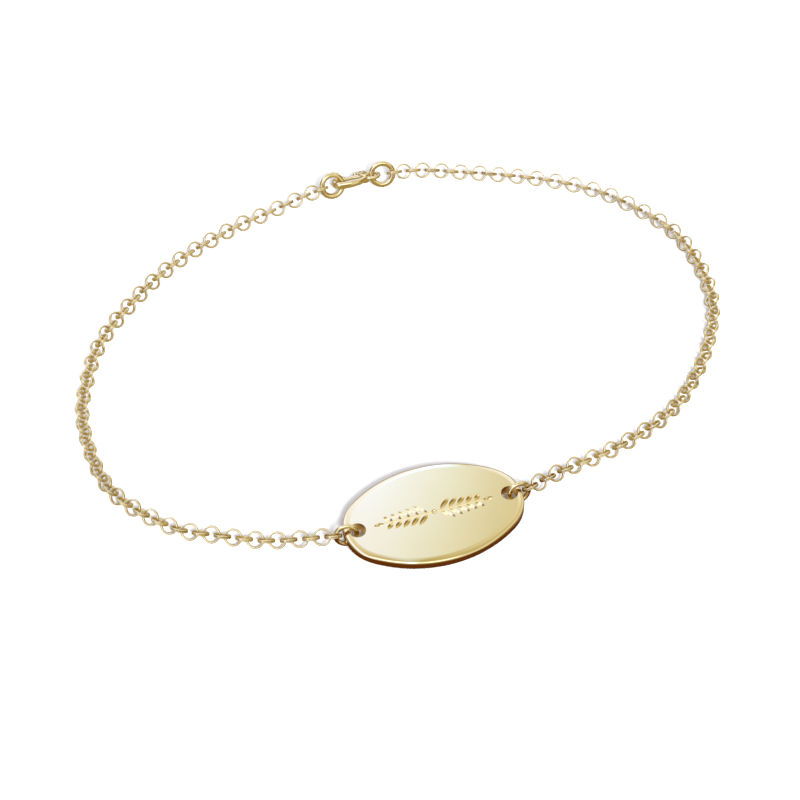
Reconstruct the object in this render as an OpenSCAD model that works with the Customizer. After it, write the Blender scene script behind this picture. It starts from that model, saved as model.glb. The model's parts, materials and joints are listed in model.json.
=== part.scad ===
// Oval nameplate bracelet on a fine chain of round links, lying closed on a table.
// X runs left to right past the plate, Y from the plate to the clasp, Z up from the table.

/* [Loop] */
// Width of the loop as it lies
loop_w = 67; // [64:0.5:72]
// Depth of the loop, from the plate's middle to the clasp
loop_d = 52; // [50:0.5:56]

/* [Chain] */
// Outer diameter of one link
link_od = 1.96; // [1.9:0.01:2]
// Thickness of the link's wire across its round
link_wire = 0.35; // [0.31:0.01:0.37]
// Width of the link's wire, which is a little flattened
link_band = 0.46; // [0.4:0.01:0.5]
// Play between neighbouring links
link_play = 0.13; // [0.12:0.01:0.15]
// Length over which the chain comes down from a ring to the table
chain_drop = 8; // [6:0.5:10]

/* [Nameplate] */
// Length of the oval
plate_l = 18.5; // [17.6:0.1:20]
// Width of the oval
plate_w = 11.8; // [11:0.1:12.4]
// Thickness
plate_t = 1.1; // [0.9:0.05:1.15]
// Radius of the soft edge
plate_soft = 0.36; // [0.2:0.02:0.4]
// Turn of the plate on the table, in degrees
plate_turn = 17; // [13:0.5:20]
// Diameter of the hole at each end
hole_d = 1.7; // [1.65:0.05:1.8]
// Metal left between a hole and the plate's tip
hole_wall = 0.5; // [0.4:0.02:0.52]
// Depth of the engraved leaves
engrave_h = 0.2; // [0.1:0.02:0.26]
// Length of the engraved sprig from tip to tip
sprig_l = 12.3; // [10:0.1:12.6]
// Length of its longest leaf
leaf_l = 1.7; // [1.4:0.05:1.9]
// Width of that leaf
leaf_w = 0.5; // [0.4:0.02:0.6]

/* [Rings] */
// Outer diameter of the two rings at the plate
plate_ring_od = 2.6; // [2.58:0.02:2.7]
// Wire of the two rings at the plate
plate_ring_wire = 0.48; // [0.42:0.02:0.5]
// Outer diameter of the two rings at the clasp
clasp_ring_od = 3.1; // [3:0.02:3.2]
// Wire of the two rings at the clasp
clasp_ring_wire = 0.6; // [0.52:0.01:0.62]
// Play between a ring and the link in it
ring_play = 0.14; // [0.12:0.01:0.16]

/* [Clasp] */
// Length of the clasp from its hook to its eye
clasp_l = 5.7; // [5.6:0.05:6]
// Thickness of the clasp's body
clasp_t = 1.1; // [1.04:0.02:1.2]
// Thickness of the hooked arm across its bend
hook_w = 0.56; // [0.48:0.02:0.58]
// Thickness of the lever
lever_t = 0.44; // [0.36:0.02:0.46]
// Diameter of the rivet that the lever turns on
rivet_d = 0.22; // [0.18:0.02:0.26]

/* [Hidden] */
$fn = 96;

// Links and rings: radius of the wire's centreline, and radius of the wire
link_r = (link_od - link_wire) / 2;
plate_ring_r = (plate_ring_od - plate_ring_wire) / 2;
clasp_ring_r = (clasp_ring_od - clasp_ring_wire) / 2;

// The links stand on two edges each, so every second one leans the other way
link_lean = 45;
link_z = link_r * sin(link_lean) + (link_band - link_wire) / 2 * cos(link_lean) + link_wire / 2;
link_step = link_od - 2 * link_wire - link_play;

// How far the rings lean up from the table
plate_ring_lean = 74;
clasp_ring_lean = 62;
plate_ring_z = plate_ring_r * sin(plate_ring_lean) + plate_ring_wire / 2;
clasp_ring_z = clasp_ring_r * sin(clasp_ring_lean) + clasp_ring_wire / 2;

// How far the plate and the clasp lie below their rings' middles
ring_sag = 0.05;

// Nameplate: an oval of two tight and two wide arcs, all tangent
plate_at = [2.9 * loop_w / 67, -22.2 * loop_d / 52];
half_l = plate_l / 2;
half_w = plate_w / 2;
tip_r = 0.73 * half_w;
side_r = (half_l * half_l - 2 * half_l * tip_r + half_w * half_w) / (2 * (half_w - tip_r));
tip_x = half_l - tip_r;
side_y = side_r - half_w;
tip_angle = atan2(side_y, tip_x);
hole_x = half_l - hole_wall - hole_d / 2;
plate_z = plate_ring_z - ring_sag;
stem_w = 0.24 * leaf_w;

// Clasp: its own frame has the eye towards +X and the lever towards +Y
clasp_at = [-5.5 * loop_w / 67, 25.44 * loop_d / 52];
clasp_turn = 19;
clasp_tilt = -22;
clasp_z = clasp_ring_z - ring_sag;
clasp_k = clasp_l / 5.7;
hook_at = clasp_k * [-1.62, 0.05];
hook_r = 0.97 * clasp_k;
hook_tip = 70;
arm_joint = 16;
arm_r = 3.6 * clasp_k;
arm_end = 36;
arm_at = hook_at + (arm_r - hook_r) * [sin(arm_joint), cos(arm_joint)];
eye_at = clasp_k * [1.88, 0];
eye_r = 0.8 * clasp_k;
eye_wire = 0.44 * clasp_k;
pivot = clasp_k * [0.85, 0.42];
rivet_play = 0.02;
pivot_play = 0.05;
lever_play = 0.06;

// Where each ring's wire passes through what it holds, from that piece's middle:
// a little outside the middle of the plate's hole and of the hook, a little inside the eye's
wire_off = 0.1;
plate_wire_x = hole_x + wire_off / 2;
hook_wire_x = hook_at[0] - wire_off;
eye_wire_x = eye_at[0] - wire_off / 2;

// Directions in which the rings point, which lie between the chain and what they hold
left_ring_turn = plate_turn - 7;
right_ring_turn = plate_turn + 7;
clasp_ring_turn = clasp_turn - 9;
end_ring_turn = clasp_turn + 7;

function turned(p, a) = [p[0] * cos(a) - p[1] * sin(a), p[0] * sin(a) + p[1] * cos(a)];
left_ring_at = plate_at - turned([plate_wire_x, 0], plate_turn)
    - turned([plate_ring_r, 0], left_ring_turn);
right_ring_at = plate_at + turned([plate_wire_x, 0], plate_turn)
    + turned([plate_ring_r, 0], right_ring_turn);
end_ring_at = clasp_at + turned([hook_wire_x, 0], clasp_turn)
    - turned([clasp_ring_r, 0], end_ring_turn);
clasp_ring_at = clasp_at + turned([eye_wire_x, 0], clasp_turn)
    + turned([clasp_ring_r, 0], clasp_ring_turn);

// Where each half of the chain runs on the table, drawn for a loop 67 wide and 52 deep
right_route = [[16.5, -16.2], [23, -12.5], [28.5, -7.5], [32.5, 0.5], [33.6, 8.5], [30.8, 17],
               [25, 22.5], [20, 25], [13.5, 26.5], [4.2, 27.3]];
left_route = [[-15, 20.8], [-20, 17.6], [-26.5, 11.5], [-32, 2.5], [-33.5, -4.5], [-33.1, -11],
              [-29.7, -18.7], [-23.5, -23.2], [-18.5, -24.4], [-12.5, -25.1]];

function fitted(route) = [for (p = route) [p[0] * loop_w / 67, p[1] * loop_d / 52]];

// A smooth line through points, whose first and last points only aim its ends
function between(a, b, c, d, t) =
    (2 * b + (c - a) * t + (2 * a - 5 * b + 4 * c - d) * t * t + (3 * b - a - 3 * c + d) * t * t * t) / 2;
function smooth_line(p, steps = 16) = concat(
    [for (i = [1 : len(p) - 3], k = [0 : steps - 1])
        between(p[i - 1], p[i], p[i + 1], p[i + 2], k / steps)],
    [p[len(p) - 2]]);
function run_lengths(line) =
    [for (i = 0, s = 0; i < len(line);
          s = s + norm(line[min(i + 1, len(line) - 1)] - line[i]), i = i + 1) s];
function table(line, axis) =
    let (runs = run_lengths(line)) [for (i = [0 : len(line) - 1]) [runs[i], line[i][axis]]];

function ahead(turn) = turned([0.09 * loop_w, 0], turn);
right_line = smooth_line(concat([right_ring_at - ahead(right_ring_turn), right_ring_at],
    fitted(right_route), [clasp_ring_at, clasp_ring_at - ahead(clasp_ring_turn)]));
left_line = smooth_line(concat([end_ring_at + ahead(end_ring_turn), end_ring_at],
    fitted(left_route), [left_ring_at, left_ring_at + ahead(left_ring_turn)]));

// One round of wire lying flat about the origin, as tall as its band
module wire_ring(r, wire, band = 0) {
    side = max(band - wire, 0) / 2;
    rotate_extrude() translate([r, 0]) {
        for (y = side > 0 ? [-side, side] : [0]) translate([0, y]) circle(d = wire, $fn = 48);
        if (side > 0) square([wire, 2 * side], center = true);
    }
}

// One half of the chain, from the ring that it starts at to the ring that it ends at.
// It comes down from each ring to the table over a few links.
module chain(line, first_gap, last_gap, z_first, z_last, lean) {
    xs = table(line, 0);
    ys = table(line, 1);
    total = xs[len(xs) - 1][0];
    run = total - first_gap - last_gap;
    pairs = ceil((run / link_step + 1) / 2);
    step = run / (2 * pairs - 1);
    function ease(t) = let (u = max(0, min(1, t))) u * u * (3 - 2 * u);
    function place(s) = [lookup(s, xs), lookup(s, ys),
        link_z + (z_first - link_z) * (1 - ease((s - first_gap) / chain_drop))
               + (z_last - link_z) * (1 - ease((total - last_gap - s) / chain_drop))];
    for (i = [0 : 2 * pairs - 1]) {
        s = first_gap + i * step;
        way = place(s + link_step / 3) - place(s - link_step / 3);
        translate(place(s))
            rotate([0, -atan2(way[2], norm([way[0], way[1]])), atan2(way[1], way[0])])
                rotate([i % 2 == 0 ? lean : -lean, 0, 0])
                    wire_ring(link_r, link_wire, link_band);
    }
}

// Distance from a ring's centre to the first link's
function ring_gap(ring_r, ring_wire) = ring_r - ring_wire / 2 + link_r - link_wire / 2 - ring_play;
plate_gap = ring_gap(plate_ring_r, plate_ring_wire);
clasp_gap = ring_gap(clasp_ring_r, clasp_ring_wire);

module chain_right() {
    color("gold") chain(right_line, plate_gap, clasp_gap, plate_ring_z, clasp_ring_z, -link_lean);
}

module chain_left() {
    color("gold") chain(left_line, clasp_gap, plate_gap, clasp_ring_z, plate_ring_z, link_lean);
}

// Section of the plate from one radius out to its rounded edge
module plate_section(r_from, r_to) {
    rounding = [for (a = [0 : 15 : 90]) plate_soft * [cos(a) - 1, sin(a) - 1]];
    upper = [for (p = rounding) [r_to + p[0], plate_t / 2 + p[1]]];
    lower = [for (k = [len(upper) - 1 : -1 : 0]) [upper[k][0], -upper[k][1]]];
    polygon(concat([[r_from, -plate_t / 2]], lower, upper, [[r_from, plate_t / 2]]));
}

module plate_blank() {
    for (x = [-tip_x, tip_x]) translate([x, 0]) rotate_extrude() plate_section(0, tip_r);
    for (a = [90, 270]) rotate([0, 0, a]) translate([-side_y, 0])
        rotate([0, 0, tip_angle - 90])
            rotate_extrude(angle = 180 - 2 * tip_angle) plate_section(side_y, side_r);
}

// A pointed leaf that starts at the origin and points along +X
module leaf(l, w) {
    r = (l * l / 4 + w * w / 4) / w;
    translate([l / 2, 0]) intersection() {
        translate([0, w / 2 - r]) circle(r);
        translate([0, r - w / 2]) circle(r);
    }
}

// A sprig of leaves in the plate's middle, the same on both sides
module sprig() {
    end_leaf = 0.65 * leaf_l;
    stem = sprig_l / 2 - end_leaf;
    for (side = [0, 180]) rotate([0, 0, side]) {
        for (i = [0 : 4], tilt = [-1, 1])
            translate([stem * (0.11 + 0.175 * i), 0]) rotate([0, 0, tilt * 42])
                translate([stem_w, 0]) leaf(leaf_l * (1 - 0.09 * i), leaf_w);
        translate([stem - 0.05, 0]) leaf(end_leaf, 0.85 * leaf_w);
    }
    square([2 * stem, stem_w], center = true);
    circle(leaf_w / 2);
}

module nameplate() {
    color("gold") translate([plate_at[0], plate_at[1], plate_z]) rotate([0, 0, plate_turn]) difference() {
        plate_blank();
        for (x = [-hole_x, hole_x]) translate([x, 0, -plate_t]) cylinder(d = hole_d, h = 2 * plate_t);
        translate([0, 0, plate_t / 2 - engrave_h]) linear_extrude(plate_t) sprig();
    }
}

module plate_ring_left() {
    color("gold") translate([left_ring_at[0], left_ring_at[1], plate_ring_z])
        rotate([plate_ring_lean, 0, left_ring_turn]) wire_ring(plate_ring_r, plate_ring_wire);
}

module plate_ring_right() {
    color("gold") translate([right_ring_at[0], right_ring_at[1], plate_ring_z])
        rotate([plate_ring_lean, 0, right_ring_turn]) wire_ring(plate_ring_r, plate_ring_wire);
}

module end_ring() {
    color("gold") translate([end_ring_at[0], end_ring_at[1], clasp_ring_z])
        rotate([clasp_ring_lean, 0, end_ring_turn]) wire_ring(clasp_ring_r, clasp_ring_wire);
}

module clasp_ring() {
    color("gold") translate([clasp_ring_at[0], clasp_ring_at[1], clasp_ring_z])
        rotate([clasp_ring_lean, 0, clasp_ring_turn]) wire_ring(clasp_ring_r, clasp_ring_wire);
}

module in_clasp() {
    translate([clasp_at[0], clasp_at[1], clasp_z]) rotate([clasp_tilt, 0, clasp_turn]) children();
}

// The hook and the arm in one sweep, from the hook's tip to the eye.
// Each step holds the centre that it turns about, its radius and its angle.
arm_steps = concat(
    [for (k = [0 : 15]) [hook_at, hook_r, hook_tip + (270 - arm_joint - hook_tip) * k / 16]],
    [for (k = [0 : 10]) [arm_at, arm_r, 270 - arm_joint + (arm_joint + arm_end) * k / 10]]);

// One side of the arm: it is fullest along its back and thinner at both ends
function arm_side(side) = [for (k = [0 : len(arm_steps) - 1])
    let (step = arm_steps[k], half = hook_w / 2 * (0.8 + 0.3 * sin(180 * k / (len(arm_steps) - 1))))
    step[0] + (step[1] + side * half) * [cos(step[2]), sin(step[2])]];

module arm_outline() {
    inner = arm_side(-1);
    polygon(concat(arm_side(1), [for (k = [len(inner) - 1 : -1 : 0]) inner[k]]));
    translate(hook_at + hook_r * [cos(hook_tip), sin(hook_tip)]) circle(0.4 * hook_w);
}

// Outline of the cheeks between the arm, the pivot and the eye
module cheek_outline() {
    translate(pivot) circle(0.48 * clasp_k);
    translate(clasp_k * [0.97, -0.12]) circle(0.46 * clasp_k);
    polygon(clasp_k * [[0.38, 0.34], [0.5, -0.2], [1.3, -0.4], [1.27, 0.54]]);
}

// Room that the lever needs between the cheeks
module lever_slot() {
    translate(pivot) circle(0.42 * clasp_k);
    translate([pivot[0] - 1.2 * clasp_k, 0]) square(1.2 * clasp_k);
    translate([pivot[0] - 1.2 * clasp_k, -0.3 * clasp_k]) square(clasp_k * [0.95, 1.2]);
}

module clasp_body() {
    color("gold") in_clasp() difference() {
        union() {
            linear_extrude(0.76 * clasp_t, center = true) arm_outline();
            linear_extrude(clasp_t, center = true) cheek_outline();
            translate(eye_at) wire_ring(eye_r, eye_wire);
        }
        linear_extrude(lever_t + 2 * lever_play, center = true) lever_slot();
        translate([pivot[0], pivot[1], -clasp_t]) cylinder(d = rivet_d + 2 * rivet_play, h = 2 * clasp_t);
    }
}

module clasp_rivet() {
    color("gold") in_clasp()
        translate([pivot[0], pivot[1], -clasp_t / 2]) cylinder(d = rivet_d, h = clasp_t);
}

// The lever's arm, from the pivot to the tip that rests inside the hook
module lever_outline() {
    tip = clasp_k * [-1.3, 0.5];
    bend = clasp_k * [-0.25, 0.72];
    tip_half = 0.13 * clasp_k;
    bend_half = 0.21 * clasp_k;
    pivot_half = 0.34 * clasp_k;
    translate(pivot) circle(pivot_half);
    translate(tip) circle(tip_half);
    translate(bend) circle(bend_half);
    polygon([tip + tip_half * [-0.4, 0.92], tip + tip_half * [0.4, -0.92], bend - [0, bend_half],
             pivot - [0, pivot_half], pivot + [0, pivot_half], bend + [0, bend_half]]);
    translate(clasp_k * [0.02, 0.8]) square(0.3 * clasp_k);
}

module clasp_lever() {
    color("gold") in_clasp() difference() {
        union() {
            linear_extrude(lever_t, center = true) lever_outline();
            translate(clasp_k * [0.17, 1.1, 0])
                linear_extrude(0.76 * clasp_t, center = true) circle(0.22 * clasp_k);
        }
        translate([pivot[0], pivot[1], -clasp_t]) cylinder(d = rivet_d + 2 * pivot_play, h = 2 * clasp_t);
    }
}

nameplate();
plate_ring_left();
plate_ring_right();
chain_left();
chain_right();
end_ring();
clasp_ring();
clasp_body();
clasp_rivet();
clasp_lever();
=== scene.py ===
"""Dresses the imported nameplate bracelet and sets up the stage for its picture."""
import json
import math

import bpy
import numpy as np
from bpy.props import FloatProperty, FloatVectorProperty, PointerProperty
from mathutils import Matrix, Vector


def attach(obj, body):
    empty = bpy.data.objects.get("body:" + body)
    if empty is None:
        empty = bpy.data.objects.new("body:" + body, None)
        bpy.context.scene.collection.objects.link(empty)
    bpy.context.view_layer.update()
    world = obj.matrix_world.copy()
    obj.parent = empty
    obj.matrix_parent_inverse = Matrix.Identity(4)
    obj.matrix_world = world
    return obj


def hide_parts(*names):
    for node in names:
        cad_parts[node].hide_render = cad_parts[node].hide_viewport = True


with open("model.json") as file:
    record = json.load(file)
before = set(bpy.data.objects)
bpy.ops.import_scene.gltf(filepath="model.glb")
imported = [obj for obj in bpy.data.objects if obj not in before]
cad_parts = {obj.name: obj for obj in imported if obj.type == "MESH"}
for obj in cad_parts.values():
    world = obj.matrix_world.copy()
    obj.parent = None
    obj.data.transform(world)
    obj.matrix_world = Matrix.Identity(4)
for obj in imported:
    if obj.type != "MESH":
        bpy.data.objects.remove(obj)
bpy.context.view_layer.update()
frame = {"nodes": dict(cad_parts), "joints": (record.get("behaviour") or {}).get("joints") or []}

bl_info = {
    "name": "Nameplate Bracelet",
    "version": (1, 0, 0),
    "blender": (4, 5, 0),
    "location": "View3D > Sidebar > Bracelet",
    "description": "Builds a nameplate bracelet's chain, plate, rings and clasp, and its stage",
    "category": "Object",
}

MM = 0.001
CLASP_HINGE = frame["joints"][0]

# Sizes below are in millimetres, and angles in degrees

# The link's solder bead: where it sits on the round, how far it spreads in radians, and how often it is
# on the other side
SOLDER_AT, SOLDER_SPREAD, SOLDER_TURNED = 62, 0.09, 3

# The plate: the tight arc's share of the half width, and how finely its outline and soft edges are stepped
TIP_SHARE, OUTLINE_POINTS, TOP_STEPS, BACK_STEPS = 0.73, 176, 12, 5

# The engraved sprig: its pairs of leaves, the single leaf at each end, the stem and the bud in the middle
LEAF_PAIRS, FIRST_PAIR_AT, PAIR_STEP = 5, 0.55, 0.9
LEAF_L, LEAF_SHRINK, LEAF_W, LEAF_LEAN, LEAF_STALK = 1.7, 0.16, 0.5, 42, 0.12
END_LEAF_L, END_LEAF_W, END_LEAF_AT = 1.1, 0.42, 5.12
STEM_L, STEM_W = 10.2, 0.11
BUD_R, BUD_RISE = 0.32, 0.16
CUTTER_PROUD, LEAF_STEPS = 0.01, 14

# The clasp in its own frame: X runs to the eye and Y to the lever's side
HINGE_AT = Vector((0.85, 0.42, 0))
# Its arm bends round the hook's centre and then round a far one, and ends in a ball at the hook's tip
HOOK_AT, HOOK_R, HOOK_TIP = Vector((-1.62, 0.05, 0)), 0.97, 70
ARM_R, ARM_JOINT, ARM_END, ARM_THICK = 3.6, 16, 36, 0.76
BALL_WIDE, BALL_THICK = 0.86, 0.3
EYE_AT, EYE_R, EYE_WIRE = Vector((1.88, 0, 0)), 0.8, 0.44
# The block between the arm and the eye, with a round cheek at the hinge and a round heel behind it
BLOCK_AT, BLOCK_L, BLOCK_W, BLOCK_SOFT = (0.87, 0.04, 0), 0.86, 0.84, 0.2
CHEEK_R, HEEL_AT, HEEL_R, CHEEK_SOFT = 0.48, (0.97, -0.12, 0), 0.46, 0.14
# The slot for the lever, and how much wider than the rivet the holes in the body and the lever are
SLOT_R, SLOT_PLAY, BODY_PLAY, LEVER_PLAY = 0.42, 0.12, 0.02, 0.05
SLOT_CUTS = (((0.25, 0.6, 0), (1.2, 1.2)), ((0.125, 0.3, 0), (0.95, 1.2)))
# The rivet's domes, in shares of its radius and of their own
DOME_WIDE, DOME_HIGH = 1.7, 0.35
# The lever's middle line from the hinge to its tip, with its half width at each point
LEVER_SPINE = ((HINGE_AT, 0.34), (Vector((0.3, 0.64, 0)), 0.30), (Vector((-0.25, 0.72, 0)), 0.27),
               (Vector((-0.8, 0.66, 0)), 0.21), (Vector((-1.3, 0.5, 0)), 0.14))
LEVER_THIN, LEVER_SOFT, TIP_THICK = 0.96, 0.08, 0.42
NUB_AT, NUB_L, NUB_W, NUB_THICK = (0.17, 1.1, 0), 0.25, 0.22, 0.38
NECK_AT, NECK_R, NECK_L = (0.17, 0.88, 0), 0.17, 0.5

# The camera, the lamp and the floor
CAMERA_AT, CAMERA_DOWN, CAMERA_LENS, CAMERA_SENSOR = (-0.48, -133.5, 154.15), 50.5, 85.5, 36
KEY_AT, KEY_SIZE, KEY_POWER, KEY_TONE = (240, -720, 660), 320, 15, (1, 1, 0.98)
FLOOR_SIZE = 6000


class BraceletSizes(bpy.types.PropertyGroup):
    """Sizes of what is added to the solids, in metres."""
    solder: FloatProperty(name="Solder bead", description="How far a link's soldered joint stands out",
                          default=0.016 * MM, min=0, unit="LENGTH")
    hole: FloatProperty(name="Plate hole", description="Diameter of the holes at the plate's ends",
                        default=1.7 * MM, unit="LENGTH")
    hole_wall: FloatProperty(name="Hole wall", description="Metal between a hole and the plate's tip",
                             default=0.5 * MM, unit="LENGTH")
    pillow: FloatProperty(name="Pillow", description="How far in from its edge the plate's face falls off",
                          default=0.7 * MM, unit="LENGTH")
    fall: FloatProperty(name="Fall", description="How far the plate's face falls off towards its edge",
                        default=0.3 * MM, unit="LENGTH")
    leaf_cut: FloatProperty(name="Leaf cut", description="Depth of the engraved leaves along their middle",
                            default=0.24 * MM, unit="LENGTH")
    saw_cut: FloatProperty(name="Ring joint", description="Width of the closed joint in a jump ring",
                           default=0.03 * MM, unit="LENGTH")
    arm: FloatProperty(name="Clasp arm", description="Width of the clasp's hooked arm",
                       default=0.56 * MM, unit="LENGTH")
    body: FloatProperty(name="Clasp body", description="Thickness of the clasp's body",
                        default=1.1 * MM, unit="LENGTH")
    lever: FloatProperty(name="Clasp lever", description="Thickness of the clasp's lever",
                         default=0.44 * MM, unit="LENGTH")
    rivet: FloatProperty(name="Rivet", description="Diameter of the rivet that the lever turns on",
                         default=0.22 * MM, unit="LENGTH")


class BraceletColours(bpy.types.PropertyGroup):
    """Colours of the gold and of the stage, with the painted shade and the painted reflections."""
    plate: FloatVectorProperty(name="Plate", description="Gold of the plate's face", subtype="COLOR",
                               default=(0.90, 0.79, 0.52), min=0, max=1)
    gold: FloatVectorProperty(name="Gold", description="Gold of the chain, the rings and the clasp",
                              subtype="COLOR", default=(0.93, 0.83, 0.54), min=0, max=1)
    # Painted shade: the darker gold laid on undersides, which also tones the random patches
    shade_and_patch_gold: FloatVectorProperty(name="Painted shade gold", description="Painted shade on undersides, also the tone of random patches",
                              subtype="COLOR", default=(0.62, 0.42, 0.12), min=0, max=1)
    floor: FloatVectorProperty(name="Floor", description="Colour of the floor", subtype="COLOR",
                               default=(0.86, 0.86, 0.86), min=0, max=1)
    # Painted reflection: the warm dim tone that the floor shows only to polished metal
    painted_below: FloatVectorProperty(name="Painted floor reflection", description="How the floor shows in polished metal",
                               subtype="COLOR", default=(0.46, 0.35, 0.14), min=0, max=1)
    # Painted reflection: the dark tone that the floor shows only to polished metal, just round the plate,
    # which darkens the plate's side
    painted_dark_reflection: FloatVectorProperty(name="Painted dark reflection", description="What the side of the plate reflects",
                              subtype="COLOR", default=(0.145, 0.045, 0.008), min=0, max=1)


def sizes():
    return bpy.context.scene.bracelet_sizes


def colours():
    return bpy.context.scene.bracelet_colours


def pick(*objects):
    """Leaves object mode's selection as just these, with the first one active."""
    if bpy.context.object and bpy.context.object.mode != "OBJECT":
        bpy.ops.object.mode_set(mode="OBJECT")
    bpy.ops.object.select_all(action="DESELECT")
    for one in objects:
        one.select_set(True)
    if objects:
        bpy.context.view_layer.objects.active = objects[0]


def added():
    """The object that the last primitive operator added, alone in the selection."""
    piece = bpy.context.object
    pick(piece)
    return piece


def points_of(mesh):
    """A mesh's points as an array with a row for each."""
    flat = np.empty(len(mesh.vertices) * 3)
    mesh.vertices.foreach_get("co", flat)
    return flat.reshape(-1, 3)


def put_points(mesh, points):
    mesh.vertices.foreach_set("co", np.asarray(points, dtype=float).ravel())
    mesh.update()


def use_modifier(piece, kind, **values):
    """Adds a modifier with these values and applies it."""
    modifier = piece.modifiers.new(kind.title(), kind)
    for name, value in values.items():
        setattr(modifier, name, value)
    pick(piece)
    bpy.ops.object.modifier_apply(modifier=modifier.name)


def cut(piece, cutter):
    use_modifier(piece, "BOOLEAN", operation="DIFFERENCE", solver="EXACT", object=cutter)
    bpy.data.objects.remove(cutter)


def fuse(piece, other):
    use_modifier(piece, "BOOLEAN", operation="UNION", solver="EXACT", object=other)
    bpy.data.objects.remove(other)


def joined(objects, name):
    """One object from several, with their places in its mesh."""
    pick(*objects)
    bpy.ops.object.transform_apply(location=True, rotation=True, scale=True)
    bpy.ops.object.join()
    piece = bpy.context.object
    piece.name = piece.data.name = name
    return piece


def smooth(piece, sharp):
    """Shades a piece smooth, apart from edges sharper than this angle."""
    pick(piece)
    bpy.ops.object.shade_smooth_by_angle(angle=math.radians(sharp))


def settle(piece, place):
    """Takes a piece drawn in millimetres in its own frame to its place, with the object at the origin."""
    piece.matrix_world = place @ Matrix.Scale(MM, 4)
    pick(piece)
    bpy.ops.object.transform_apply(location=True, rotation=True, scale=True)


def dress(piece, name, body, material, slot, *nodes):
    """Names a finished piece, gives it its finish and its body, and hides the CAD nodes that it stands for.
    """
    piece.name = piece.data.name = name
    piece.data.materials.clear()
    piece.data.materials.append(material)
    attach(piece, body)
    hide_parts(*nodes)


# Finishes, with painted shade on undersides

def gold_group():
    """Cast and polished gold, with painted shade: darker where it faces down, faintly uneven in tone, with
    fine rubbing marks.
    """
    name = "gold_wear_and_painted_shade"
    if name in bpy.data.node_groups:
        return bpy.data.node_groups[name]
    group = bpy.data.node_groups.new(name, "ShaderNodeTree")
    face = group.interface
    # The pale gold, and the darker tone that the painted shade and the random patches mix in; then how much
    # painted shade falls on undersides, and the patches, polish and rubbing marks
    for label, default in (("Pale", (1, 1, 1, 1)), ("Shade_And_Patch", (0, 0, 0, 1))):
        face.new_socket(label, in_out="INPUT", socket_type="NodeSocketColor").default_value = default
    for label, default in (("Down", 0.5), ("Uneven", 0.1), ("Patch", 1.0), ("Smooth", 0.08),
                           ("Rubbed", 0.1)):
        face.new_socket(label, in_out="INPUT", socket_type="NodeSocketFloat").default_value = default
    face.new_socket("Color", in_out="OUTPUT", socket_type="NodeSocketColor")
    face.new_socket("Roughness", in_out="OUTPUT", socket_type="NodeSocketFloat")
    face.new_socket("Height", in_out="OUTPUT", socket_type="NodeSocketFloat")
    nodes, wire = group.nodes, group.links.new
    given, out = nodes.new("NodeGroupInput"), nodes.new("NodeGroupOutput")
    where = nodes.new("ShaderNodeTexCoord")
    in_mm = nodes.new("ShaderNodeVectorMath")
    in_mm.operation = "SCALE"
    in_mm.inputs["Scale"].default_value = 1 / MM
    wire(where.outputs["Object"], in_mm.inputs[0])

    # Painted shade: how far the surface faces down, from 0 on top to the full shade value underneath
    split = nodes.new("ShaderNodeSeparateXYZ")
    wire(where.outputs["Normal"], split.inputs[0])
    painted_below = nodes.new("ShaderNodeMapRange")
    painted_below.interpolation_type = "SMOOTHSTEP"
    painted_below.inputs["From Min"].default_value = 0.55
    painted_below.inputs["From Max"].default_value = -0.45
    wire(split.outputs["Z"], painted_below.inputs["Value"])
    wire(given.outputs["Down"], painted_below.inputs["To Max"])

    # The tone, uneven in soft patches and darkened on undersides by the painted shade
    patch = nodes.new("ShaderNodeTexNoise")
    patch.inputs["Detail"].default_value = 3
    wire(in_mm.outputs[0], patch.inputs["Vector"])
    wire(given.outputs["Patch"], patch.inputs["Scale"])
    uneven = nodes.new("ShaderNodeMath")
    uneven.operation = "MULTIPLY_ADD"
    wire(patch.outputs["Fac"], uneven.inputs[0])
    wire(given.outputs["Uneven"], uneven.inputs[1])
    wire(painted_below.outputs["Result"], uneven.inputs[2])
    tint = nodes.new("ShaderNodeMix")
    tint.data_type = "RGBA"
    wire(uneven.outputs[0], tint.inputs["Factor"])
    wire(given.outputs["Pale"], tint.inputs["A"])
    wire(given.outputs["Shade_And_Patch"], tint.inputs["B"])
    wire(tint.outputs["Result"], out.inputs["Color"])

    # The rubbing marks, which roughen the polish and stand a little in relief
    rub = nodes.new("ShaderNodeTexNoise")
    rub.inputs["Scale"].default_value = 9
    rub.inputs["Detail"].default_value = 5
    rub.inputs["Roughness"].default_value = 0.65
    wire(in_mm.outputs[0], rub.inputs["Vector"])
    rough = nodes.new("ShaderNodeMath")
    rough.operation = "MULTIPLY_ADD"
    wire(rub.outputs["Fac"], rough.inputs[0])
    wire(given.outputs["Rubbed"], rough.inputs[1])
    wire(given.outputs["Smooth"], rough.inputs[2])
    wire(rough.outputs[0], out.inputs["Roughness"])
    wire(rub.outputs["Fac"], out.inputs["Height"])
    return group


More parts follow.
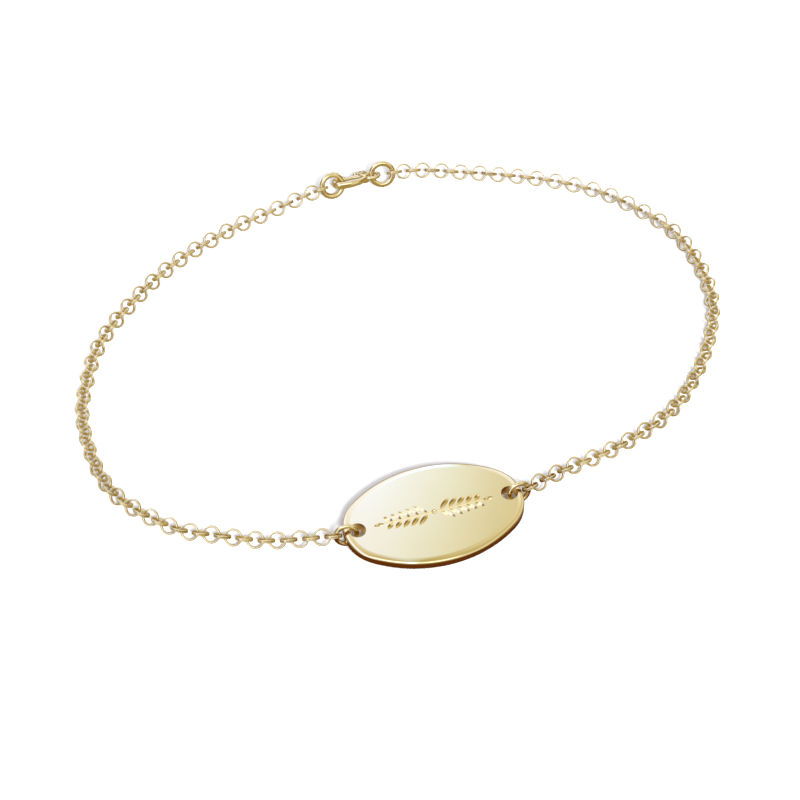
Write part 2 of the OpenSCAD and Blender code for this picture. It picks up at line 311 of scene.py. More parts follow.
def gold(name, pale, bump, **wear_and_shade_values):
    """A gold finish of its own tone and polish: bump is the relief's strength, and the rest is its wear and
    its painted shade.
    """
    material = bpy.data.materials.new(name)
    material.use_nodes = True
    nodes, wire = material.node_tree.nodes, material.node_tree.links.new
    shader = nodes["Principled BSDF"]
    shader.inputs["Metallic"].default_value = 1
    wear_and_shade = nodes.new("ShaderNodeGroup")
    wear_and_shade.node_tree = gold_group()
    wear_and_shade.inputs["Pale"].default_value = (*pale, 1)
    wear_and_shade.inputs["Shade_And_Patch"].default_value = (*colours().shade_and_patch_gold, 1)
    for label, value in wear_and_shade_values.items():
        wear_and_shade.inputs[label.title()].default_value = value
    relief = nodes.new("ShaderNodeBump")
    relief.inputs["Strength"].default_value = bump
    relief.inputs["Distance"].default_value = 0.01 * MM
    wire(wear_and_shade.outputs["Color"], shader.inputs["Base Color"])
    wire(wear_and_shade.outputs["Roughness"], shader.inputs["Roughness"])
    wire(wear_and_shade.outputs["Height"], relief.inputs["Height"])
    wire(relief.outputs["Normal"], shader.inputs["Normal"])
    return material


# Chain

def loose_solids(node):
    """Points of each loose solid of a CAD node, as one array for each."""
    copy = bpy.data.objects.new(node + "_read", frame["nodes"][node].data.copy())
    bpy.context.collection.objects.link(copy)
    pick(copy)
    bpy.ops.object.mode_set(mode="EDIT")
    bpy.ops.mesh.select_all(action="SELECT")
    bpy.ops.mesh.separate(type="LOOSE")
    bpy.ops.object.mode_set(mode="OBJECT")
    parts = list(bpy.context.selected_objects)
    solids = [points_of(part.data) for part in parts]
    for part in parts:
        bpy.data.objects.remove(part)
    return solids


def round_of(points):
    """Centre, axis, radius, wire radius and half the height of a ring from its points."""
    centre = (points.min(axis=0) + points.max(axis=0)) / 2
    spread = points - points.mean(axis=0)
    axis = np.linalg.eigh(spread.T @ spread)[1][:, 0]
    off = points - centre
    along = off @ axis
    out = np.linalg.norm(off - np.outer(along, axis), axis=1)
    return centre, axis, (out.max() + out.min()) / 2, (out.max() - out.min()) / 2, along.max()


def link_frames(node):
    """Where each link of a chain lies, X along the chain and Z square to the link, and their mean sizes."""
    rounds = [round_of(points) for points in loose_solids(node)]
    centres = np.array([r[0] for r in rounds])
    frames = []
    for centre, axis, *_ in rounds:
        near = np.argsort(np.linalg.norm(centres - centre, axis=1))[1:3]
        first, second = centres[near[0]] - centre, centres[near[1]] - centre
        along = first if first @ second > 0 else first - second
        along = along - (along @ axis) * axis
        x = Vector(along).normalized()
        z = Vector(axis).normalized()
        if z.z < 0:
            z = -z
        y = z.cross(x)
        frames.append(Matrix.Translation(Vector(centre)) @ Matrix((x, y, z)).transposed().to_4x4())
    return frames, [float(np.mean([r[k] for r in rounds])) for k in (2, 3, 4)]


def chain_half(node, name, material):
    """One half of the chain: a link with its solder bead, copied to where each solid link lies."""
    places, (radius, wire, band) = link_frames(node)
    bpy.ops.mesh.primitive_torus_add(major_segments=36, minor_segments=12,
                                     major_radius=radius / MM, minor_radius=wire / MM)
    link = added()
    link.scale = (1, 1, band / wire)
    bpy.ops.object.transform_apply(location=False, rotation=False, scale=True)
    points = points_of(link.data)
    turn = np.arctan2(points[:, 1], points[:, 0])
    bead = sizes().solder / wire * np.exp(-((turn - math.radians(SOLDER_AT)) / SOLDER_SPREAD) ** 2)
    middle = np.stack([np.cos(turn), np.sin(turn), 0 * turn], axis=1) * radius / MM
    put_points(link.data, middle + (points - middle) * (1 + bead)[:, None])
    copies = []
    for k, place in enumerate(places):
        copy = bpy.data.objects.new(f"{name}_{k}", link.data.copy())
        bpy.context.collection.objects.link(copy)
        flip = Matrix.Rotation(math.pi * (k % SOLDER_TURNED == 0), 4, "Z")
        copy.matrix_world = place @ flip @ Matrix.Scale(MM, 4)
        copies.append(copy)
    bpy.data.objects.remove(link)
    piece = joined(copies, name)
    bpy.ops.object.shade_smooth()
    dress(piece, name, "bracelet", material, "chain_gold", node)


class BRACELET_OT_chains(bpy.types.Operator):
    """Lays fine round links, each with its soldered joint, where the solid links are"""
    bl_idname = "bracelet.chains"
    bl_label = "Chain"

    def execute(self, context):
        finish = gold("chain_gold_polish", colours().gold, bump=0.15,
                      down=0.45, uneven=0.15, patch=1.3, smooth=0.1, rubbed=0.12)
        chain_half("chain_left", "links_left", finish)
        chain_half("chain_right", "links_right", finish)
        return {"FINISHED"}


# Nameplate

def oval(half_l, half_w, count):
    """Outline of two tight and two wide arcs, counter-clockwise and evenly spaced."""
    tip_r = TIP_SHARE * half_w
    side_r = (half_l ** 2 - 2 * half_l * tip_r + half_w ** 2) / (2 * (half_w - tip_r))
    tip_x, side_y = half_l - tip_r, side_r - half_w
    lean = math.atan2(side_y, tip_x)
    arcs = [((tip_x, 0), tip_r, -lean, lean), ((0, -side_y), side_r, lean, math.pi - lean),
            ((-tip_x, 0), tip_r, math.pi - lean, math.pi + lean),
            ((0, side_y), side_r, math.pi + lean, 2 * math.pi - lean)]
    whole = sum(r * (b - a) for _, r, a, b in arcs)
    points = []
    for k in range(count):
        run = whole * k / count
        for (x, y), r, a, b in arcs:
            if run <= r * (b - a):
                turn = a + run / r
                points.append((x + r * math.cos(turn), y + r * math.sin(turn)))
                break
            run -= r * (b - a)
    return points


def leaf_cutter(length, width, depth):
    """A V-shaped cut in the outline of a pointed leaf, from the origin along +X."""
    bpy.ops.mesh.primitive_grid_add(x_subdivisions=LEAF_STEPS, y_subdivisions=2, size=1)
    leaf = added()
    radius = (length ** 2 + width ** 2) / (4 * width)
    points = points_of(leaf.data)
    for p in points:
        x = length * (p[0] + 0.5)
        side = round(2 * p[1])
        half = max(math.sqrt(radius ** 2 - (x - length / 2) ** 2) - (radius - width / 2), 0.0)
        low = 0 if side else -depth * half / (width / 2)
        p[:] = (x, side * half, low + CUTTER_PROUD)
    put_points(leaf.data, points)
    bpy.ops.object.mode_set(mode="EDIT")
    bpy.ops.mesh.select_all(action="SELECT")
    bpy.ops.mesh.remove_doubles(threshold=0.002)
    bpy.ops.mesh.extrude_region_move(TRANSFORM_OT_translate={"value": (0, 0, 1)})
    bpy.ops.mesh.select_all(action="SELECT")
    bpy.ops.mesh.normals_make_consistent(inside=False)
    bpy.ops.object.mode_set(mode="OBJECT")
    return leaf


def sprig_cutter(depth):
    """Leaves in pairs along a stem, outward from the plate's middle."""
    leaves = []
    for side in (0, math.pi):
        half_turn = Matrix.Rotation(side, 4, "Z")
        for k in range(LEAF_PAIRS):
            for tilt in (-1, 1):
                leaf = leaf_cutter(LEAF_L - LEAF_SHRINK * k, LEAF_W, depth)
                leaf.matrix_world = (half_turn @ Matrix.Translation((FIRST_PAIR_AT + PAIR_STEP * k, 0, 0))
                                     @ Matrix.Rotation(tilt * math.radians(LEAF_LEAN), 4, "Z")
                                     @ Matrix.Translation((LEAF_STALK, 0, 0)))
                leaves.append(leaf)
        leaf = leaf_cutter(END_LEAF_L, END_LEAF_W, depth)
        leaf.matrix_world = half_turn @ Matrix.Translation((END_LEAF_AT, 0, 0))
        leaves.append(leaf)
    return joined(leaves, "sprig_cutter")


def plate_place():
    """The plate's own frame, with its long axis along X, and its half length, half width and thickness."""
    points = points_of(frame["nodes"]["nameplate"].data)
    flat = points[:, :2] - points[:, :2].mean(axis=0)
    long = np.linalg.eigh(flat.T @ flat)[1][:, 1]
    long = long if long[0] > 0 else -long
    across = np.array([-long[1], long[0]])
    reach = [(points[:, :2] @ way) for way in (long, across)]
    middle = sum((r.min() + r.max()) / 2 * way for r, way in zip(reach, (long, across)))
    half_l, half_w = [(r.max() - r.min()) / 2 / MM for r in reach]
    low, high = points[:, 2].min(), points[:, 2].max()
    place = (Matrix.Translation((middle[0], middle[1], (low + high) / 2))
             @ Matrix.Rotation(math.atan2(long[1], long[0]), 4, "Z"))
    return place, half_l, half_w, (high - low) / MM


def round_off(inward, rise, steps):
    """Ends the selected flat face in a soft edge, a quarter of an ellipse in section."""
    turns = [math.pi / 2 * k / steps for k in range(steps + 1)]
    for a, b in zip(turns, turns[1:]):
        bpy.ops.mesh.inset(thickness=inward * (math.cos(a) - math.cos(b)),
                           depth=rise * (math.sin(b) - math.sin(a)))


def plate_blank(half_l, half_w, thick):
    """The plate before it is drilled, pillowed on top and softened underneath."""
    pillow, fall = sizes().pillow / MM, sizes().fall / MM
    back_soft = 0.5 * fall
    bpy.ops.mesh.primitive_circle_add(vertices=OUTLINE_POINTS, radius=half_w, fill_type="NGON")
    plate = added()
    outline = oval(half_l, half_w, OUTLINE_POINTS)
    put_points(plate.data, [(x, y, -thick / 2 + back_soft) for x, y in outline])
    bpy.ops.object.mode_set(mode="EDIT")
    bpy.ops.mesh.select_all(action="SELECT")
    bpy.ops.mesh.extrude_region_move(TRANSFORM_OT_translate={"value": (0, 0, thick - fall - back_soft)})
    round_off(pillow, fall, TOP_STEPS)
    bpy.ops.mesh.select_all(action="SELECT")
    bpy.ops.mesh.normals_make_consistent(inside=False)
    bpy.ops.mesh.select_all(action="DESELECT")
    bpy.ops.object.mode_set(mode="OBJECT")
    for face in plate.data.polygons:
        face.select = face.normal.z < -0.9
    bpy.ops.object.mode_set(mode="EDIT")
    round_off(back_soft, back_soft, BACK_STEPS)
    bpy.ops.object.mode_set(mode="OBJECT")
    return plate


def engrave(plate, top):
    """Cuts the leaves, the stem and the bud into the plate's face."""
    leaves = sprig_cutter(sizes().leaf_cut / MM)
    leaves.location = (0, 0, top)
    cut(plate, leaves)
    bpy.ops.mesh.primitive_cube_add(size=STEM_W, location=(0, 0, top), rotation=(math.radians(45), 0, 0),
                                    scale=(STEM_L / STEM_W, 1, 1))
    cut(plate, added())
    bpy.ops.mesh.primitive_uv_sphere_add(segments=32, ring_count=16, radius=BUD_R,
                                         location=(0, 0, top + BUD_RISE))
    cut(plate, added())


class BRACELET_OT_plate(bpy.types.Operator):
    """Builds the oval plate with its soft rim, its two holes and its engraved sprig"""
    bl_idname = "bracelet.plate"
    bl_label = "Nameplate"

    def execute(self, context):
        place, half_l, half_w, thick = plate_place()
        plate = plate_blank(half_l, half_w, thick)
        hole_r = sizes().hole / MM / 2
        hole_x = half_l - sizes().hole_wall / MM - hole_r
        for x in (-hole_x, hole_x):
            bpy.ops.mesh.primitive_cylinder_add(vertices=72, radius=hole_r, depth=2 * thick,
                                                location=(x, 0, 0))
            cut(plate, added())
        engrave(plate, thick / 2)
        smooth(plate, sharp=28)
        use_modifier(plate, "WEIGHTED_NORMAL", mode="FACE_AREA", weight=100, keep_sharp=True)
        settle(plate, place)
        finish = gold("plate_gold_polish", colours().plate, bump=0.05,
                      down=0.6, uneven=0.08, patch=0.35, smooth=0.07, rubbed=0.06)
        dress(plate, "engraved_plate", "bracelet", finish, "plate_gold", "nameplate")
        return {"FINISHED"}


# Rings

def jump_ring(node, name, turn, finish):
    """A ring of round wire, closed up to a fine sawn joint at this turn."""
    centre, axis, radius, wire, _ = round_of(points_of(frame["nodes"][node].data))
    bpy.ops.mesh.primitive_torus_add(major_segments=72, minor_segments=24,
                                     major_radius=radius / MM, minor_radius=wire / MM)
    ring = added()
    bpy.ops.mesh.primitive_cube_add(size=1, location=(radius / MM, 0, 0),
                                    scale=(4 * wire / MM, sizes().saw_cut / MM, 4 * wire / MM))
    cut(ring, added())
    smooth(ring, sharp=40)
    up = Vector(axis) if axis[2] > 0 else -Vector(axis)
    place = (Matrix.Translation(Vector(centre)) @ up.to_track_quat("Z", "X").to_matrix().to_4x4()
             @ Matrix.Rotation(math.radians(turn), 4, "Z"))
    settle(ring, place)
    dress(ring, name, "bracelet", finish, "ring_gold", node)


class BRACELET_OT_rings(bpy.types.Operator):
    """Bends the four jump rings, each with its joint"""
    bl_idname = "bracelet.rings"
    bl_label = "Rings"

    def execute(self, context):
        finish = gold("ring_gold_polish", colours().gold, bump=0.1,
                      down=0.5, uneven=0.12, patch=0.9, smooth=0.07, rubbed=0.1)
        for node, name, turn in (("plate_ring_left", "jump_ring_left", 140),
                                 ("plate_ring_right", "jump_ring_right", 35),
                                 ("end_ring", "jump_ring_end", 110), ("clasp_ring", "jump_ring_clasp", 60)):
            jump_ring(node, name, turn, finish)
        return {"FINISHED"}


# Clasp

def clasp_place():
    """The clasp's own frame, from the hinge of its lever."""
    axis = Vector(CLASP_HINGE["axis"]).normalized()
    turn = (Matrix.Rotation(math.atan2(-axis.x, axis.y), 4, "Z")
            @ Matrix.Rotation(-math.acos(axis.z), 4, "X"))
    return Matrix.Translation(Vector(CLASP_HINGE["pos_m"])) @ turn @ Matrix.Translation(-HINGE_AT * MM)


def around(centre, radius, degrees):
    """A point on a circle in the clasp's plane."""
    turn = math.radians(degrees)
    return Vector((centre.x + radius * math.cos(turn), centre.y + radius * math.sin(turn), 0))


def ball(at, size, segments=24, rings=16):
    """A rounded lump with this half size."""
    bpy.ops.mesh.primitive_uv_sphere_add(segments=segments, ring_count=rings, radius=1, location=at,
                                         scale=size)
    return added()


def rod(radius, depth, at, sides=32):
    bpy.ops.mesh.primitive_cylinder_add(vertices=sides, radius=radius, depth=depth, location=at)
    return added()


def barrel(radius, depth, at, soft):
    """A short cylinder with soft edges."""
    piece = rod(radius, depth, at, 48)
    use_modifier(piece, "BEVEL", width=soft, segments=4, limit_method="ANGLE", angle_limit=math.radians(60))
    return piece


def disc(at, turn, half, thick):
    """A flat oval upright in the clasp's plane, ready to be drawn out, in edit mode and all selected."""
    bpy.ops.mesh.primitive_circle_add(vertices=24, radius=1, fill_type="NGON", location=at,
                                      rotation=(math.radians(90), 0, math.radians(turn)))
    piece = added()
    piece.scale = (half, thick / 2, 1)
    bpy.ops.object.transform_apply(location=True, rotation=True, scale=True)
    bpy.ops.object.mode_set(mode="EDIT")
    bpy.ops.mesh.select_all(action="SELECT")
    return piece


def cast(pieces, name, grain, rounds):
    """One cast piece from several that overlap, with its inner corners run smooth."""
    piece = joined(pieces, name)
    use_modifier(piece, "REMESH", mode="VOXEL", voxel_size=grain)
    use_modifier(piece, "SMOOTH", factor=0.5, iterations=rounds)
    return piece


def hooked_arm(half):
    """The arm from the hook's tip to the eye, fullest along its back."""
    lean = math.radians(ARM_JOINT)
    arm_at = HOOK_AT + (ARM_R - HOOK_R) * Vector((math.sin(lean), math.cos(lean), 0))
    joint = 270 - ARM_JOINT
    hook_share = 0.62  # of the whole arm's length
    slim, swell = 0.8, 0.3  # the arm's width at its ends, and what its back adds
    flat, rise = 0.82, 0.6  # the same for its thickness

    arm = disc(around(HOOK_AT, HOOK_R, HOOK_TIP), HOOK_TIP, half, ARM_THICK * sizes().body / MM)
    for centre, a, b, steps in ((HOOK_AT, HOOK_TIP, joint, 22),
                                (arm_at, joint, joint + ARM_JOINT + ARM_END, 16)):
        bpy.ops.mesh.spin(steps=steps, angle=math.radians(a - b), center=centre, axis=(0, 0, 1))
    bpy.ops.object.mode_set(mode="OBJECT")

    points = points_of(arm.data)
    for p in points:
        at = Vector(p)
        along = math.degrees(math.atan2(at.y - HOOK_AT.y, at.x - HOOK_AT.x)) % 360
        if HOOK_TIP - 5 < along < joint:
            centre, radius = HOOK_AT, HOOK_R
            share = hook_share * (along - HOOK_TIP) / (joint - HOOK_TIP)
        else:
            along = math.degrees(math.atan2(at.y - arm_at.y, at.x - arm_at.x)) % 360
            centre, radius = arm_at, ARM_R
            share = hook_share + (1 - hook_share) * (along - joint) / (ARM_JOINT + ARM_END)
        full = slim + swell * math.sin(math.pi * min(max(share, 0), 1))
        middle = around(centre, radius, along)
        off = at - middle
        p[:] = (middle.x + off.x * full, middle.y + off.y * full, at.z * (flat + rise * (full - slim)))
    put_points(arm.data, points)
    return arm


def clasp_body(body_t, lever_t, rivet_r):
    """The hooked arm, the eye and the cheeks as one casting, slotted for the lever and drilled."""
    half = sizes().arm / MM / 2
    tip = ball(around(HOOK_AT, HOOK_R, HOOK_TIP), (BALL_WIDE * half, BALL_WIDE * half, BALL_THICK * body_t))
    bpy.ops.mesh.primitive_torus_add(major_segments=48, minor_segments=16, location=EYE_AT,
                                     major_radius=EYE_R, minor_radius=EYE_WIRE / 2)
    eye = added()
    bpy.ops.mesh.primitive_cube_add(size=1, location=BLOCK_AT, scale=(BLOCK_L, BLOCK_W, body_t))
    block = added()
    bpy.ops.object.transform_apply(location=False, rotation=False, scale=True)
    use_modifier(block, "BEVEL", width=BLOCK_SOFT, segments=4)
    body = cast([hooked_arm(half), tip, eye, block, barrel(CHEEK_R, body_t, HINGE_AT, CHEEK_SOFT),
                 barrel(HEEL_R, body_t, HEEL_AT, CHEEK_SOFT)], "clasp_cast", grain=0.032, rounds=6)
    slot = lever_t + SLOT_PLAY
    cut(body, rod(SLOT_R, slot, HINGE_AT, 48))
    for at, (length, width) in SLOT_CUTS:
        bpy.ops.mesh.primitive_cube_add(size=1, location=at, scale=(length, width, slot))
        cut(body, added())
    cut(body, rod(rivet_r + BODY_PLAY, 2 * body_t, HINGE_AT))
    return body


def clasp_rivet(body_t, rivet_r):
    """The rivet, hammered into a low dome at each end."""
    rivet = rod(rivet_r, body_t, HINGE_AT)
    dome_r = DOME_WIDE * rivet_r
    for side in (-1, 1):
        end = HINGE_AT + Vector((0, 0, side * body_t / 2))
        fuse(rivet, ball(end, (dome_r, dome_r, DOME_HIGH * dome_r), segments=32))
    pick(rivet)
    bpy.ops.object.transform_apply(location=True, rotation=True, scale=True)
    return rivet


def clasp_lever(body_t, lever_t, rivet_r):
    """The lever from its barrel to its tip, with the thumb nub on its neck."""
    barrel_r = LEVER_SPINE[0][1]
    blade = disc(HINGE_AT, 90, barrel_r, lever_t)
    for (here, wide), (there, narrow) in zip(LEVER_SPINE, LEVER_SPINE[1:]):
        bpy.ops.mesh.extrude_region_move(TRANSFORM_OT_translate={"value": there - here})
        bpy.ops.transform.resize(value=(1, narrow / wide, LEVER_THIN), center_override=there)
    bpy.ops.object.mode_set(mode="OBJECT")
    tip_at, tip_half = LEVER_SPINE[-1]
    tip = ball(tip_at, (tip_half, tip_half, TIP_THICK * lever_t))
    nub = ball(NUB_AT, (NUB_L, NUB_W, NUB_THICK * body_t), segments=32, rings=20)
    bpy.ops.mesh.primitive_cylinder_add(vertices=24, radius=NECK_R, depth=NECK_L, location=NECK_AT,
                                        rotation=(math.radians(90), 0, 0))
    neck = added()
    lever = cast([blade, tip, nub, neck, barrel(barrel_r, lever_t, HINGE_AT, LEVER_SOFT)], "thumb_lever",
                 grain=0.026, rounds=4)
    cut(lever, rod(rivet_r + LEVER_PLAY, 2 * lever_t, HINGE_AT))
    return lever


class BRACELET_OT_clasp(bpy.types.Operator):
    """Casts the lobster clasp's body, and adds its rivet and its lever with the thumb nub"""
    bl_idname = "bracelet.clasp"
    bl_label = "Clasp"

    def execute(self, context):
        finish = gold("clasp_gold_polish", colours().gold, bump=0.12,
                      down=0.5, uneven=0.15, patch=1.1, smooth=0.08, rubbed=0.1)
        satin = gold("lever_gold_satin", colours().gold, bump=0.2,
                     down=0.5, uneven=0.2, patch=1.5, smooth=0.16, rubbed=0.12)
        place = clasp_place()
        body_t, lever_t, rivet_r = sizes().body / MM, sizes().lever / MM, sizes().rivet / MM / 2

        body = clasp_body(body_t, lever_t, rivet_r)
        smooth(body, sharp=40)
        settle(body, place)
        dress(body, "clasp_cast", "bracelet", finish, "clasp_gold", "clasp_body")

        rivet = clasp_rivet(body_t, rivet_r)
        smooth(rivet, sharp=40)
        settle(rivet, place)
        dress(rivet, "domed_rivet", "bracelet", finish, "clasp_gold", "clasp_rivet")

        lever = clasp_lever(body_t, lever_t, rivet_r)
        smooth(lever, sharp=40)
        settle(lever, place)
        dress(lever, "thumb_lever", "lever", satin, "lever_gold", "clasp_lever")
        return {"FINISHED"}


# Stage

# What polished metal sees from the camera's horizon over to the far one, in shares of half a turn
VIEW_BANDS = [(0.0, (0.34, 0.23, 0.07)), (0.13, (0.42, 0.31, 0.12)), (0.20, (0.75, 0.66, 0.42)),
              (0.225, (1.7, 1.75, 1.9)), (0.36, (1.7, 1.75, 1.9)), (0.40, (0.80, 0.73, 0.50)),
              (0.47, (0.62, 0.53, 0.28)), (0.58, (0.76, 0.70, 0.48)), (0.66, (0.88, 0.84, 0.68)),
              (0.695, (0.93, 0.86, 0.69)), (0.707, (1.02, 1.02, 1.02)), (0.72, (1.05, 1.09, 1.20)),
              (0.80, (1.10, 1.22, 1.55)), (0.94, (1.12, 1.20, 1.50)), (0.97, (0.60, 0.50, 0.32)),
              (1.0, (0.32, 0.22, 0.08))]

# What it sees at the sides, in shares from left to right, with how much that covers the bands above
SIDE_BANDS = [(0.0, (0.25, 0.17, 0.07), 1), (0.07, (0.35, 0.26, 0.12), 1), (0.12, (1.15, 1.22, 1.50), 1),
              (0.26, (1.10, 1.16, 1.40), 1), (0.34, (0.5, 0.4, 0.22), 0), (0.68, (0.4, 0.3, 0.15), 0),
              (0.76, (0.80, 0.74, 0.55), 1), (0.88, (0.95, 0.90, 0.72), 1), (0.95, (0.3, 0.2, 0.08), 1)]

# How the light changes along the plate, in shares of the narrow stretch that its flat face reflects
FALL_BANDS = [(0.0, (1.0, 1.0, 1.05)), (0.20, (1.06, 1.20, 1.70)), (0.316, (1.12, 1.33, 2.25)),
              (0.36, (1.10, 1.27, 1.95)), (0.40, (1.02, 1.20, 1.66)), (0.50, (0.96, 1.07, 1.20)),
              (0.59, (0.84, 0.86, 0.74)), (0.64, (0.74, 0.68, 0.43)), (0.72, (0.85, 0.80, 0.66)),
              (1.0, (0.95, 0.93, 0.85))]
FALL_SPREAD, FALL_MIDDLE = 4.0, 0.4

# Tones and strengths of the plain surround: what lights the floor, and what the camera sees behind it
FILL_TONE, FILL_STRENGTH = (0.96, 0.95, 1), 0.84
BACKDROP_TONE, BACKDROP_STRENGTH = (1, 1, 0.99), 1.05

# The painted reflection's tone that the floor shows to polished metal under the plate, and where its rings
# change, in shares of the plate's size
SHADED_FLOOR, FLOOR_RINGS = (0.60, 0.48, 0.25), (0.40, 0.46, 0.66, 0.74)


def band_ramp(nodes, bands):
    """A colour ramp with a stop for each band: its share, its tone and, where given, its cover."""
    ramp = nodes.new("ShaderNodeValToRGB")
    stops = ramp.color_ramp.elements
    while len(stops) < len(bands):
        stops.new(0.5)
    for stop, (place, tone, *cover) in zip(stops, bands):
        stop.position = place
        stop.color = (*tone, *(cover or [1]))
    return ramp


def studio():
    """A white surround for the camera and the floor, and banded light for what polished metal reflects."""
    world = bpy.data.worlds.new("studio")
    world.use_nodes = True
    nodes, wire = world.node_tree.nodes, world.node_tree.links.new
    nodes.clear()
    way = nodes.new("ShaderNodeTexCoord")
    split = nodes.new("ShaderNodeSeparateXYZ")
    wire(way.outputs["Generated"], split.inputs[0])

    def worked(operation, first, *rest):
        node = nodes.new("ShaderNodeMath")
        node.operation = operation
        wire(first, node.inputs[0])
        for k, value in enumerate(rest, 1):
            if isinstance(value, (int, float)):
                node.inputs[k].default_value = value
            else:
                wire(value, node.inputs[k])
        return node.outputs[0]

    turn = worked("ARCTAN2", split.outputs["Z"], worked("MULTIPLY", split.outputs["Y"], -1))
    front = band_ramp(nodes, VIEW_BANDS)
    wire(worked("DIVIDE", turn, math.pi), front.inputs[0])
    side = band_ramp(nodes, SIDE_BANDS)
    wire(worked("MULTIPLY_ADD", split.outputs["X"], 0.5, 0.5), side.inputs[0])
    seen = nodes.new("ShaderNodeMix")
    seen.data_type = "RGBA"
    wire(side.outputs["Alpha"], seen.inputs["Factor"])
    wire(front.outputs["Color"], seen.inputs["A"])
    wire(side.outputs["Color"], seen.inputs["B"])

    # The light falls off from left to right, which shades the plate's face along its length
    fall = band_ramp(nodes, FALL_BANDS)
    wire(worked("MULTIPLY_ADD", split.outputs["X"], FALL_SPREAD, FALL_MIDDLE), fall.inputs[0])
    faded = nodes.new("ShaderNodeMix")
    faded.data_type, faded.blend_type = "RGBA", "MULTIPLY"
    faded.inputs["Factor"].default_value = 1
    wire(seen.outputs["Result"], faded.inputs["A"])
    wire(fall.outputs["Color"], faded.inputs["B"])

    path = nodes.new("ShaderNodeLightPath")

    def lit(tone, strength):
        node = nodes.new("ShaderNodeBackground")
        if isinstance(tone, tuple):
            node.inputs["Color"].default_value = (*tone, 1)
        else:
            wire(tone, node.inputs["Color"])
        node.inputs["Strength"].default_value = strength
        return node.outputs[0]

    def either(choice, no, yes):
        node = nodes.new("ShaderNodeMixShader")
        wire(choice, node.inputs[0])
        wire(no, node.inputs[1])
        wire(yes, node.inputs[2])
        return node.outputs[0]

    surround = either(path.outputs["Is Glossy Ray"], lit(FILL_TONE, FILL_STRENGTH),
                      lit(faded.outputs["Result"], 1))
    whole = either(path.outputs["Is Camera Ray"], surround, lit(BACKDROP_TONE, BACKDROP_STRENGTH))
    wire(whole, nodes.new("ShaderNodeOutputWorld").inputs["Surface"])
    return world


def paper(tone, painted_below, painted_dark_reflection):
    """White paper to the eye, which shows polished metal a painted reflection instead: a warm dim tone,
    darkest just round the plate.
    """
    material = bpy.data.materials.new("floor_paper_painted_reflection")
    material.use_nodes = True
    nodes, wire = material.node_tree.nodes, material.node_tree.links.new
    shader = nodes["Principled BSDF"]
    shader.inputs["Base Color"].default_value = (*tone, 1)
    shader.inputs["Roughness"].default_value = 0.9
    shader.inputs["Specular IOR Level"].default_value = 0

    # How far out from the plate's middle, in shares of its length and width
    place = nodes.new("ShaderNodeMapping")
    place.vector_type = "TEXTURE"
    at, half_l, half_w, _ = plate_place()
    place.inputs["Location"].default_value = (*at.translation.xy, 0)
    place.inputs["Rotation"].default_value = at.to_euler()
    place.inputs["Scale"].default_value = (2 * half_l * MM, 2 * half_w * MM, 1)
    wire(nodes.new("ShaderNodeTexCoord").outputs["Object"], place.inputs[0])
    out = nodes.new("ShaderNodeVectorMath")
    out.operation = "LENGTH"
    wire(place.outputs[0], out.inputs[0])

    # The painted reflection that only polished metal sees: a warm tone under the plate, a dark ring round
    # it, and the dim warm tone further out
    ramp = band_ramp(nodes, list(zip(FLOOR_RINGS, (SHADED_FLOOR, painted_dark_reflection, painted_dark_reflection, painted_below))))
    wire(out.outputs["Value"], ramp.inputs[0])
    painted_reflection = nodes.new("ShaderNodeEmission")
    wire(ramp.outputs["Color"], painted_reflection.inputs["Color"])
    path = nodes.new("ShaderNodeLightPath")
    both = nodes.new("ShaderNodeMixShader")
    wire(path.outputs["Is Glossy Ray"], both.inputs[0])
    wire(shader.outputs[0], both.inputs[1])
    wire(painted_reflection.outputs[0], both.inputs[2])
    wire(both.outputs[0], nodes["Material Output"].inputs["Surface"])
    return material


def placed(name, data, at):
    """A lamp or a camera in the scene, at a place in millimetres."""
    holder = bpy.data.objects.new(name, data)
    holder.location = [along * MM for along in at]
    bpy.context.collection.objects.link(holder)
    return holder


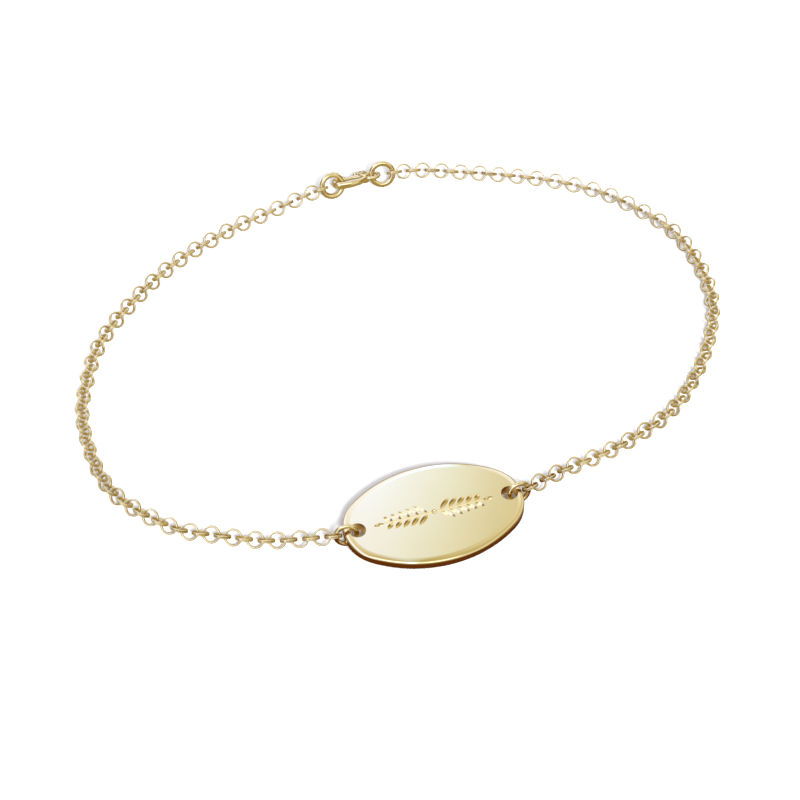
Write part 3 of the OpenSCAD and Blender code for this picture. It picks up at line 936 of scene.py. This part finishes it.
class BRACELET_OT_stage(bpy.types.Operator):
    """Lays the pale floor and sets the soft light and the camera"""
    bl_idname = "bracelet.stage"
    bl_label = "Stage"

    def execute(self, context):
        bpy.ops.mesh.primitive_plane_add(size=FLOOR_SIZE * MM)
        floor = added()
        floor.name = floor.data.name = "floor"
        floor.data.materials.append(paper(colours().floor, tuple(colours().painted_below), tuple(colours().painted_dark_reflection)))
        context.scene.world = studio()

        lamp = bpy.data.lights.new("key_light", "AREA")
        lamp.shape, lamp.size, lamp.energy, lamp.color = "DISK", KEY_SIZE * MM, KEY_POWER, KEY_TONE
        key = placed("key_light", lamp, KEY_AT)
        key.rotation_euler = (-Vector(KEY_AT)).to_track_quat("-Z", "Y").to_euler()
        key.visible_glossy = False

        lens = bpy.data.cameras.new("camera")
        lens.sensor_width, lens.lens, lens.clip_start = CAMERA_SENSOR, CAMERA_LENS, 0.01
        camera = placed("camera", lens, CAMERA_AT)
        camera.rotation_euler = (math.radians(90 - CAMERA_DOWN), 0, 0)
        context.scene.camera = camera
        context.scene.view_settings.view_transform = "Standard"
        return {"FINISHED"}


STEPS = (BRACELET_OT_chains, BRACELET_OT_plate, BRACELET_OT_rings, BRACELET_OT_clasp, BRACELET_OT_stage)


class BRACELET_PT_panel(bpy.types.Panel):
    """The bracelet's sizes, colours and steps"""
    bl_idname = "BRACELET_PT_panel"
    bl_label = "Bracelet"
    bl_space_type = "VIEW_3D"
    bl_region_type = "UI"
    bl_category = "Bracelet"

    def draw(self, context):
        for group in (context.scene.bracelet_sizes, context.scene.bracelet_colours):
            for name in group.__annotations__:
                self.layout.prop(group, name)
        for step in STEPS:
            self.layout.operator(step.bl_idname)


CLASSES = (BraceletSizes, BraceletColours, *STEPS, BRACELET_PT_panel)


def register():
    for cls in CLASSES:
        bpy.utils.register_class(cls)
    bpy.types.Scene.bracelet_sizes = PointerProperty(type=BraceletSizes)
    bpy.types.Scene.bracelet_colours = PointerProperty(type=BraceletColours)


def unregister():
    del bpy.types.Scene.bracelet_sizes
    del bpy.types.Scene.bracelet_colours
    for cls in reversed(CLASSES):
        bpy.utils.unregister_class(cls)


def main():
    register()
    bpy.ops.bracelet.chains()
    bpy.ops.bracelet.plate()
    bpy.ops.bracelet.rings()
    bpy.ops.bracelet.clasp()
    bpy.ops.bracelet.stage()


if __name__ == "__main__":
    main()
